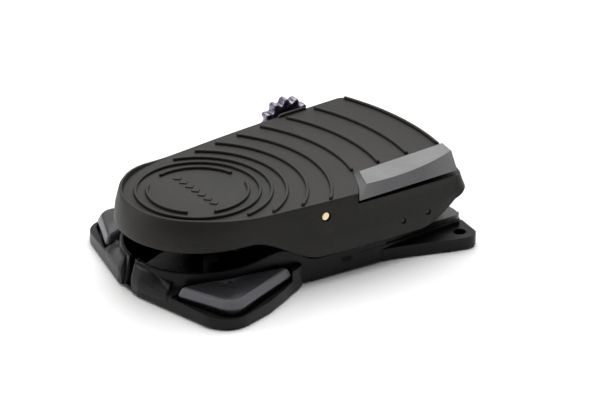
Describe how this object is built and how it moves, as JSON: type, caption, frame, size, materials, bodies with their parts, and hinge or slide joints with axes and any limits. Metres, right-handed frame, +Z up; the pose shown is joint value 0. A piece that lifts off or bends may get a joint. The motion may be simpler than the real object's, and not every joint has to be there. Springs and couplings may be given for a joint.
{
  "type": "rocking foot pedal controller",
  "caption": "Wireless rocking foot pedal with a rounded ribbed tread in a low base, grey heel and side buttons and a fluted speed wheel.",
  "frame": {"origin": "on the floor plane under the feet, on the centreline, straight below the rocking axis", "axes": "+X to the side with the side button, +Y to the toe end, +Z up"},
  "size_m": [0.2026, 0.2885, 0.08],
  "materials": {
    "housing_plastic": "satin",
    "tread_plastic": "fine grain",
    "button_plastic": "satin",
    "wheel_chrome": "polished",
    "steel": "satin",
    "brass": "satin",
    "rubber": "matt",
    "board": "solder mask",
    "black_plastic": "matt",
    "cell_wrap": "printed sleeve without print"
  },
  "bodies": {
    "base": {"base_housing": "housing_plastic", "bottom_cover": "housing_plastic", "cover_screws": "steel", "rubber_feet": "rubber", "battery_door": "housing_plastic", "door_screw": "steel", "battery_cells": "cell_wrap", "battery_contacts": "steel", "control_board": "board", "board_screws": "steel", "pivot_bushes": "brass", "stop_pads": "rubber", "rock_spring_toe": "steel", "rock_spring_heel": "steel", "angle_sensor": "board", "right_switch": "board", "left_switch": "board", "right_spring": "steel", "left_spring": "steel"},
    "heel_right": {"right_cap": "button_plastic", "right_plunger": "black_plastic"},
    "heel_left": {"left_cap": "button_plastic", "left_plunger": "black_plastic"},
    "pedal": {"foot_plate": "tread_plastic", "pivot_axle": "brass", "axle_clips": "steel", "angle_magnet": "steel", "side_gasket": "rubber", "side_switch": "black_plastic", "side_spring": "steel", "side_pins": "black_plastic", "wheel_bush": "black_plastic", "wheel_encoder": "black_plastic"},
    "side": {"side_button": "button_plastic", "button_guides": "steel"},
    "wheel": {"speed_wheel": "wheel_chrome", "wheel_shaft": "steel", "wheel_screw": "steel"}
  },
  "joints": [
    {"name": "pedal_rock", "type": "hinge", "parent": "base", "child": "pedal", "pos_m": [0, 0, 0.0575], "axis": [1, 0, 0], "range_deg": [-7.5, 7.5], "stiffness_Nm_per_rad": 12, "deforming": ["rock_spring_toe", "rock_spring_heel"]},
    {"name": "heel_right_press", "type": "slide", "parent": "base", "child": "heel_right", "axis": [0, 0, -1], "range_m": [0, 0.0025], "stiffness_N_per_m": 900, "springref_m": -0.002, "deforming": ["right_spring"]},
    {"name": "heel_left_press", "type": "slide", "parent": "base", "child": "heel_left", "axis": [0, 0, -1], "range_m": [0, 0.0025], "stiffness_N_per_m": 900, "springref_m": -0.002, "deforming": ["left_spring"]},
    {"name": "side_press", "type": "slide", "parent": "pedal", "child": "side", "axis": [0, 0, -1], "range_m": [0, 0.002], "stiffness_N_per_m": 900, "springref_m": -0.002, "deforming": ["side_spring"]},
    {"name": "wheel_turn", "type": "hinge", "parent": "pedal", "child": "wheel", "pos_m": [-0.09, 0.0735, 0.0555], "axis": [1, 0, 0], "range_deg": [-140, 140]}
  ]
}
